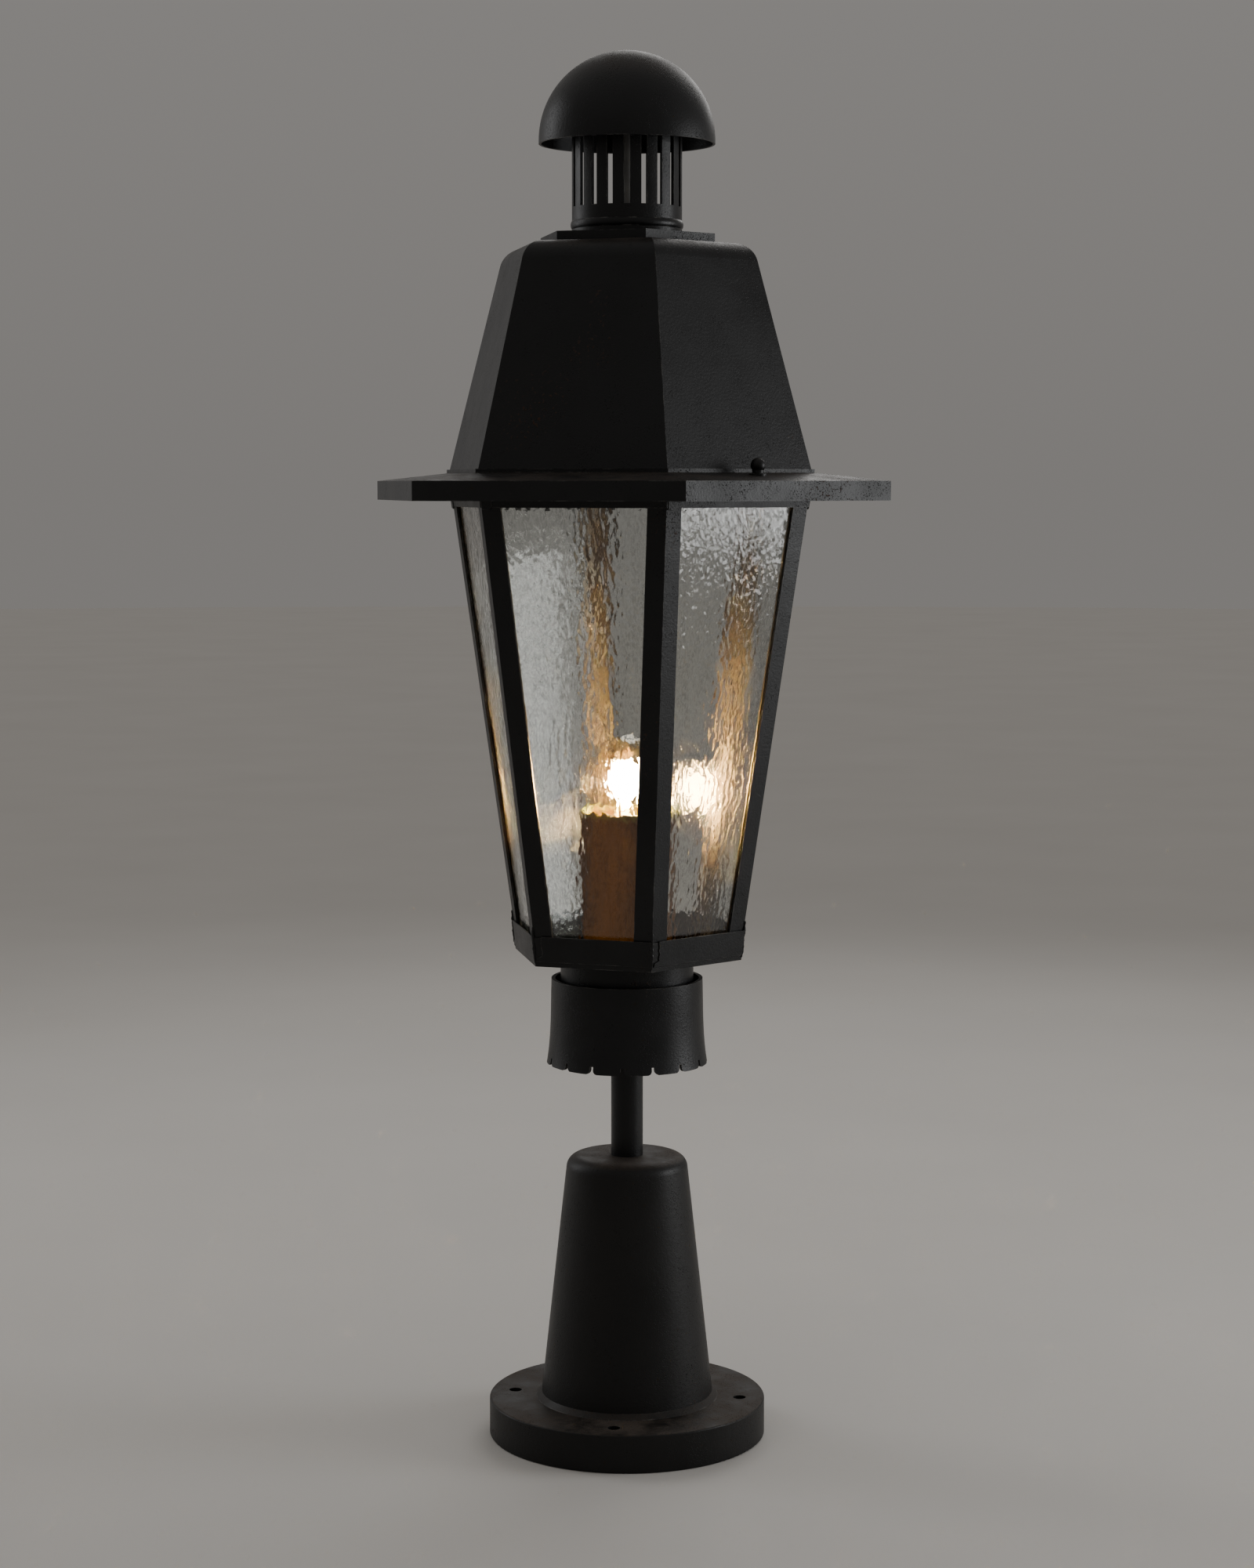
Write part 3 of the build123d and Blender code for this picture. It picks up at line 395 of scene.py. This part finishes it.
# Its grain is painted shade: darker specks in the tint that stand in for the refracted stipple.
GLASS = clear_glass("hammered_glass", PANE_TINT, PANE_SHADE, relief=0.22, grain=0.4)
GLASS_BACK = clear_glass("smooth_glass", PANE_TINT, PANE_SHADE, relief=0.02)
PORCELAIN = porcelain()
SLEEVE = sleeve_material()
# The insulator's glass is opaque, and a very dark gloss stands in for it.
BLACK_GLASS = metal("black_cap_glass", (0.012, 0.012, 0.014, 1), 0.2, (1, 1, 1))
ENVELOPE = clear_glass("bulb_envelope", (1.0, 0.89, 0.7, 1), (0.36, 0.31, 0.22, 1), relief=0.02)
CAPSULE = lit_capsule()

SLOT_LOOKS = {
    "black_paint": PAINT,
    "black_casting": CASTING,
    "zinc_steel": ZINC,
    "pane_glass": GLASS,
    "porcelain": PORCELAIN,
    "brass": BRASS,
    "amber_sleeve": SLEEVE,
    "bulb_glass": ENVELOPE,
    "bulb_capsule": CAPSULE,
    "aged_brass": OLD_BRASS,
}


def dress_cad():
    """Give every CAD node the finish of its material slot."""
    for part in frame["record"]["subparts"]:
        node = frame["nodes"][part["node"]]
        look = SLOT_LOOKS[part["material_slot"]]
        if not node.material_slots:
            node.data.materials.append(look)
        for place in node.material_slots:
            place.material = look


# ---- Mesh pieces ----


def new_piece(name, verts, faces, material, body, smooth_angle):
    """A mesh piece with its normals outwards, smooth below an angle in degrees, riding on a body."""
    mesh = bpy.data.meshes.new(name)
    mesh.from_pydata(verts, [], faces)
    work = bmesh.new()
    work.from_mesh(mesh)
    bmesh.ops.recalc_face_normals(work, faces=work.faces)
    work.to_mesh(mesh)
    work.free()
    mesh.polygons.foreach_set("use_smooth", [True] * len(mesh.polygons))
    mesh.set_sharp_from_angle(angle=math.radians(smooth_angle))
    mesh.materials.append(material)
    piece = bpy.data.objects.new(name, mesh)
    bpy.context.scene.collection.objects.link(piece)
    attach(piece, body)
    return piece


def ring_faces(rings, sides):
    """Faces of a closed round piece: verts 0 and 1 are its two ends, and its rings follow."""
    last = 2 + (rings - 1) * sides
    faces = []
    for turn in range(sides):
        following = (turn + 1) % sides
        faces.append([0, 2 + following, 2 + turn])
        faces.append([1, last + turn, last + following])
        for ring in range(rings - 1):
            low, high = 2 + ring * sides, 2 + (ring + 1) * sides
            faces.append([low + turn, low + following, high + following, high + turn])
    return faces


# ---- Panes: one hammered face, one smooth face ----

PANE_STEP = 0.0007


def pane_frame(name, heading):
    """Left and right corners of the pane: outer bottom, outer top, inner bottom and inner top."""
    points = np.array([v.co for v in frame["nodes"][name].data.vertices])
    outward = np.array([math.cos(heading), math.sin(heading), 0.0])
    across = np.cross([0, 0, 1], outward)
    pairs = []
    for face in (max, min):
        for end in (min, max):
            level = end(points[:, 2])
            edge = points[np.abs(points[:, 2] - level) < 1e-5]
            reach = face(edge @ outward)
            line = edge[np.abs(edge @ outward - reach) < 1e-5]
            order = np.argsort(line @ across)
            pairs.append((line[order[0]], line[order[-1]]))
    return pairs


def grid_points(low, high, columns, rows):
    """Points spread evenly over a four-cornered face, row by row."""
    u = np.linspace(0, 1, columns)[None, :, None]
    v = np.linspace(0, 1, rows)[:, None, None]
    bottom = low[0] * (1 - u) + low[1] * u
    top = high[0] * (1 - u) + high[1] * u
    return (bottom * (1 - v) + top * v).reshape(-1, 3)


def hammer_depth(across, along, seed):
    """Depth of the hammered pattern at a place on the pane, in metres, cut into the CAD pane's face."""
    slow = noise.noise((across / 0.022, along / 0.06, seed))
    sway = 0.0008 * noise.noise((across / 0.008, along / 0.012, seed + 3.1))
    pebble = noise.noise(((across + sway) / 0.0027, along / 0.0050, seed + 11.3))
    fine = noise.noise(((across + sway) / 0.0016, along / 0.0029, seed + 29.7))
    ripple = abs(noise.noise(((across + sway) / 0.0045, along / 0.0120, seed + 47.9)))
    return (0.28 * slow + 0.15 * pebble + 0.07 * fine - 0.14 * ripple - 0.48) * MM


def pane_faces(columns, rows):
    """The grid's outer ring of points, and the faces: the grid's first, then the sides and the back."""
    ring = list(range(columns))
    ring += [row * columns + columns - 1 for row in range(1, rows)]
    ring += [(rows - 1) * columns + column for column in range(columns - 2, -1, -1)]
    ring += [row * columns for row in range(rows - 2, 0, -1)]
    count = columns * rows
    back = list(range(count, count + len(ring)))
    corner = np.arange(rows - 1)[:, None] * columns + np.arange(columns - 1)[None, :]
    quads = np.stack([corner, corner + 1, corner + columns + 1, corner + columns], axis=-1)
    faces = quads.reshape(-1, 4).tolist()
    for first, second, low, high in zip(back, back[1:] + back[:1], ring, ring[1:] + ring[:1]):
        faces.append([high, low, first, second])
    faces.append(back[::-1])
    return ring, faces


def make_pane(number):
    """A pane in place of the CAD one, with the hammered face outwards."""
    name = "glass_pane_" + str(number)
    outer_low, outer_high, inner_low, inner_high = pane_frame(name, math.radians(60 * number - 30))
    width = np.linalg.norm(outer_high[1] - outer_high[0])
    height = np.linalg.norm(outer_high[0] - outer_low[0])
    columns = int(width / PANE_STEP) + 1
    rows = int(height / PANE_STEP) + 1
    outer = grid_points(outer_low, outer_high, columns, rows)
    inner = grid_points(inner_low, inner_high, columns, rows)
    across_axis = outer_low[1] - outer_low[0]
    across_axis /= np.linalg.norm(across_axis)
    normal = np.cross(across_axis, outer_high[0] - outer_low[0])
    normal /= np.linalg.norm(normal)
    if normal @ (outer_low[0] - inner_low[0]) < 0:
        normal = -normal
    places = zip(outer @ across_axis, outer[:, 2])
    depths = [hammer_depth(across, along, 5.0 * number) for across, along in places]
    outer += np.array(depths)[:, None] * normal
    ring, faces = pane_faces(columns, rows)
    verts = np.vstack([outer, inner[ring]]).tolist()
    pane = new_piece(name + "_hammered", verts, faces, GLASS, "lantern_body", 60)
    pane.data.materials.append(GLASS_BACK)
    hammered = (rows - 1) * (columns - 1)
    smooth = len(pane.data.polygons) - hammered
    pane.data.polygons.foreach_set("material_index", [0] * hammered + [1] * smooth)
    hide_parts(name)


# ---- Sheet work on the body: folded tabs and solder beads ----


def corner_radius(name, at_top):
    """Reach of a node's corners at its top or bottom level."""
    points = np.array([v.co for v in frame["nodes"][name].data.vertices])
    level = points[:, 2].max() if at_top else points[:, 2].min()
    edge = points[np.abs(points[:, 2] - level) < 1e-5]
    return float(np.hypot(edge[:, 0], edge[:, 1]).max())


def corner_at(name, corner, height):
    """A band's outer corner at a height, in metres."""
    low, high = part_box(name)
    bottom, top = corner_radius(name, False), corner_radius(name, True)
    radius = bottom + (top - bottom) * (height - low.z) / (high.z - low.z)
    heading = math.radians(60 * corner)
    return Vector((radius * math.cos(heading), radius * math.sin(heading), height))


def on_face(name, side, across, height, proud):
    """A point on a band: millimetres from the face's left corner, height in metres, stand-off in mm."""
    left, right = corner_at(name, side - 1, height), corner_at(name, side, height)
    outward = Vector(((left + right).x, (left + right).y, 0)).normalized()
    return left + (right - left).normalized() * across * MM + outward * proud * MM


TAB_SINK = 0.3
TAB_EASE = 0.18 * MM


def sheet_tab(name, band, side, outline, thickness):
    """A thin painted plate on a band's face, from (mm across, metres up) points, with eased edges."""
    back = [on_face(band, side, across, height, -TAB_SINK) for across, height in outline]
    front = [on_face(band, side, across, height, thickness) for across, height in outline]
    count = len(outline)
    faces = [list(range(count)), list(range(2 * count - 1, count - 1, -1))]
    for place in range(count):
        following = (place + 1) % count
        faces.append([place, following, count + following, count + place])
    piece = new_piece(name, back + front, faces, PAINT, "lantern_body", 35)
    eased = piece.modifiers.new("eased", "BEVEL")
    eased.width = TAB_EASE
    eased.segments = 2
    eased.limit_method = "ANGLE"


STRIP_THICKNESS = 0.65
STRIP_FOOT = 3.2 * MM
STRIP_RISE = 0.7 * MM
STRIP_END = 5.4
STRIP_END_STEPS = 8
STRIP_ROUND = 2.4
STRIP_MARGIN = 1.0


def rough_end(side, foot, head):
    """The left end of a strip: ragged above, and reaching nearly to the corner at its foot."""
    points = []
    for step in range(STRIP_END_STEPS + 1):
        height = head + (foot + 4 * MM - head) * step / STRIP_END_STEPS
        ragged = 1.1 * noise.noise((1.7 * side, 0.83 * step, 4.0))
        points.append((STRIP_END + ragged, height))
    return points + [(1.8, foot + 2.6 * MM), (1.2, foot)]


def band_strips():
    """On each face of the bottom band, a strip with a rough left end and a rounded right foot."""
    low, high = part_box("bottom_band")
    foot, head = low.z + STRIP_FOOT, high.z + STRIP_RISE
    for side in range(1, 7):
        left, right = corner_at("bottom_band", side - 1, head), corner_at("bottom_band", side, head)
        width = (right - left).length / MM
        turn = [
            (
                width - STRIP_MARGIN - STRIP_ROUND + STRIP_ROUND * math.sin(angle),
                foot + STRIP_ROUND * (1 - math.cos(angle)) * MM,
            )
            for angle in np.linspace(0, math.pi / 2, 5)
        ]
        outline = rough_end(side, foot, head) + turn + [(width - 0.9, head)]
        sheet_tab("band_strip_" + str(side), "bottom_band", side, outline, STRIP_THICKNESS)


FOLD_THICKNESS = 0.5
FOLD_DROP = 1.6 * MM
FOLD_RISE = 5.5 * MM


def top_folds():
    """A small folded corner of the top band at the left of each face."""
    low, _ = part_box("top_band")
    foot, head = low.z - FOLD_DROP, low.z + FOLD_RISE
    outline = [(0.6, head), (1.1, foot + 0.5 * MM), (6.0, foot), (8.2, low.z + 0.8 * MM), (8.6, head)]
    for side in range(1, 7):
        sheet_tab("top_fold_" + str(side), "top_band", side, outline, FOLD_THICKNESS)


def solder_bead(name, start, end, radius, seed):
    """A lumpy bead along an edge, thinning to its ends."""
    steps, sides = 30, 10
    along = (end - start).normalized()
    first = along.orthogonal().normalized()
    second = along.cross(first)
    verts = [start, end]
    for step in range(1, steps):
        share = step / steps
        lump = 0.8 + 0.7 * noise.noise((9 * share, seed, 0.5)) + 0.35 * noise.noise((23 * share, seed, 2.5))
        reach = radius * lump * math.sin(math.pi * share) ** 0.3
        for turn in range(sides):
            angle = 2 * math.pi * turn / sides
            spoke = first * math.cos(angle) + second * math.sin(angle)
            verts.append(start + (end - start) * share + spoke * reach)
    new_piece(name, verts, ring_faces(steps - 1, sides), PAINT, "lantern_body", 80)


BEAD_RADIUS = 1.15 * MM
BEAD_FOOT = 1.5 * MM
BEAD_RISE = 7 * MM
BEAD_SINK = 0.5 * MM


def corner_beads():
    """A bead of solder on each corner of the bottom band, running up onto the post."""
    low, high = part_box("bottom_band")
    for corner in range(6):
        start = corner_at("bottom_band", corner, low.z + BEAD_FOOT)
        end = corner_at("bottom_band", corner, high.z + BEAD_RISE)
        end -= Vector((end.x, end.y, 0)).normalized() * BEAD_SINK
        solder_bead("corner_solder_" + str(corner + 1), start, end, BEAD_RADIUS, 7.3 * corner + 1)


# ---- Fasteners and the bulb's screw cap ----


def lathe(name, outline, middle, axis, material, body):
    """A closed round piece from (radius, height) points in mm, which start and end on the axis."""
    sides = 32
    turned = Vector(axis).to_track_quat("Z", "Y").to_matrix()
    ends = [(0, 0, outline[0][1]), (0, 0, outline[-1][1])]
    points = ends[:]
    for radius, height in outline[1:-1]:
        for turn in range(sides):
            angle = 2 * math.pi * turn / sides
            points.append((radius * math.cos(angle), radius * math.sin(angle), height))
    verts = [Vector(middle) + turned @ (Vector(point) * MM) for point in points]
    return new_piece(name, verts, ring_faces(len(outline) - 2, sides), material, body, 40)


RIVET_RADIUS = 1.7
RIVET_RIM = 0.15
RIVET_DOME = 0.75
RIVET_SINK = 0.4
RIVET_SHARES = (0.12, 0.37, 0.63, 0.88)
LEAF_LEAN = 0.18


def rivet(name, place, outward):
    """A domed rivet head, sunk a little into the sheet."""
    rim = [(0, -RIVET_SINK), (RIVET_RADIUS, -RIVET_SINK), (RIVET_RADIUS, RIVET_RIM)]
    dome = [
        (RIVET_RADIUS * math.cos(angle), RIVET_RIM + RIVET_DOME * math.sin(angle))
        for angle in np.linspace(0.3, 1.35, 5)
    ]
    outline = rim + dome + [(0, RIVET_RIM + RIVET_DOME)]
    lathe(name, outline, place, outward, PAINT, "lantern_body")


def hinge_rivets():
    """Rivets through the hinge's fixed leaf, which leans with the body."""
    low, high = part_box("hinge_leaf_frame")
    face, height = low.y + 1.45 * MM, low.z + 2.6 * MM
    for number, share in enumerate(RIVET_SHARES):
        across = low.x + (high.x - low.x) * share
        rivet("hinge_rivet_" + str(number + 1), (across, face, height), (0, 1, -LEAF_LEAN))


THREAD_TURNS = 72
THREAD_ROWS = 96
THREAD_PITCH = 3.62
THREAD_DEPTH = 0.85
THREAD_FADE = 3.5
THREAD_FOOT = 5.5
CAP_INSET = 0.02
INSULATOR = [(0, 1.6), (4.4, 1.6), (8.8, 3.6), (11.9, 5.0), (11.9, 5.6), (0, 5.6)]
CONTACT = [(0, 0), (2.6, 0.05), (4.0, 0.6), (4.3, 1.8), (0, 1.8)]


def screw_cap():
    """The bulb's cap with its rolled screw thread, black glass insulator and centre contact."""
    low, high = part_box("bulb_cap")
    reach = high.x / MM
    foot, head = low.z / MM + THREAD_FOOT, high.z / MM
    verts = []
    for row in range(THREAD_ROWS + 1):
        height = foot + (head - foot) * row / THREAD_ROWS
        fade = min(1.0, (head - height) / THREAD_FADE)
        for turn in range(THREAD_TURNS):
            angle = 2 * math.pi * turn / THREAD_TURNS
            groove = 0.5 - 0.5 * math.cos(2 * math.pi * height / THREAD_PITCH - angle)
            radius = reach - THREAD_DEPTH * groove * fade - CAP_INSET
            verts.append((radius * math.cos(angle) * MM, radius * math.sin(angle) * MM, height * MM))
    top_row = THREAD_ROWS * THREAD_TURNS
    faces = [list(range(THREAD_TURNS)), list(range(top_row, top_row + THREAD_TURNS))]
    for row in range(THREAD_ROWS):
        for turn in range(THREAD_TURNS):
            following = (turn + 1) % THREAD_TURNS
            start, above = row * THREAD_TURNS, (row + 1) * THREAD_TURNS
            faces.append([start + turn, start + following, above + following, above + turn])
    shell = new_piece("cap_shell", verts, faces, BRASS, "bulb", 60)
    foot_middle, upright = (0, 0, low.z), (0, 0, 1)
    insulator = lathe("cap_insulator", INSULATOR, foot_middle, upright, BLACK_GLASS, "bulb")
    contact = lathe("cap_contact", CONTACT, foot_middle, upright, BRASS, "bulb")
    for piece in (shell, insulator, contact):
        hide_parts("bulb_cap")


make_studio()
dress_cad()
for number in range(1, 7):
    make_pane(number)
band_strips()
top_folds()
corner_beads()
hinge_rivets()
screw_cap()
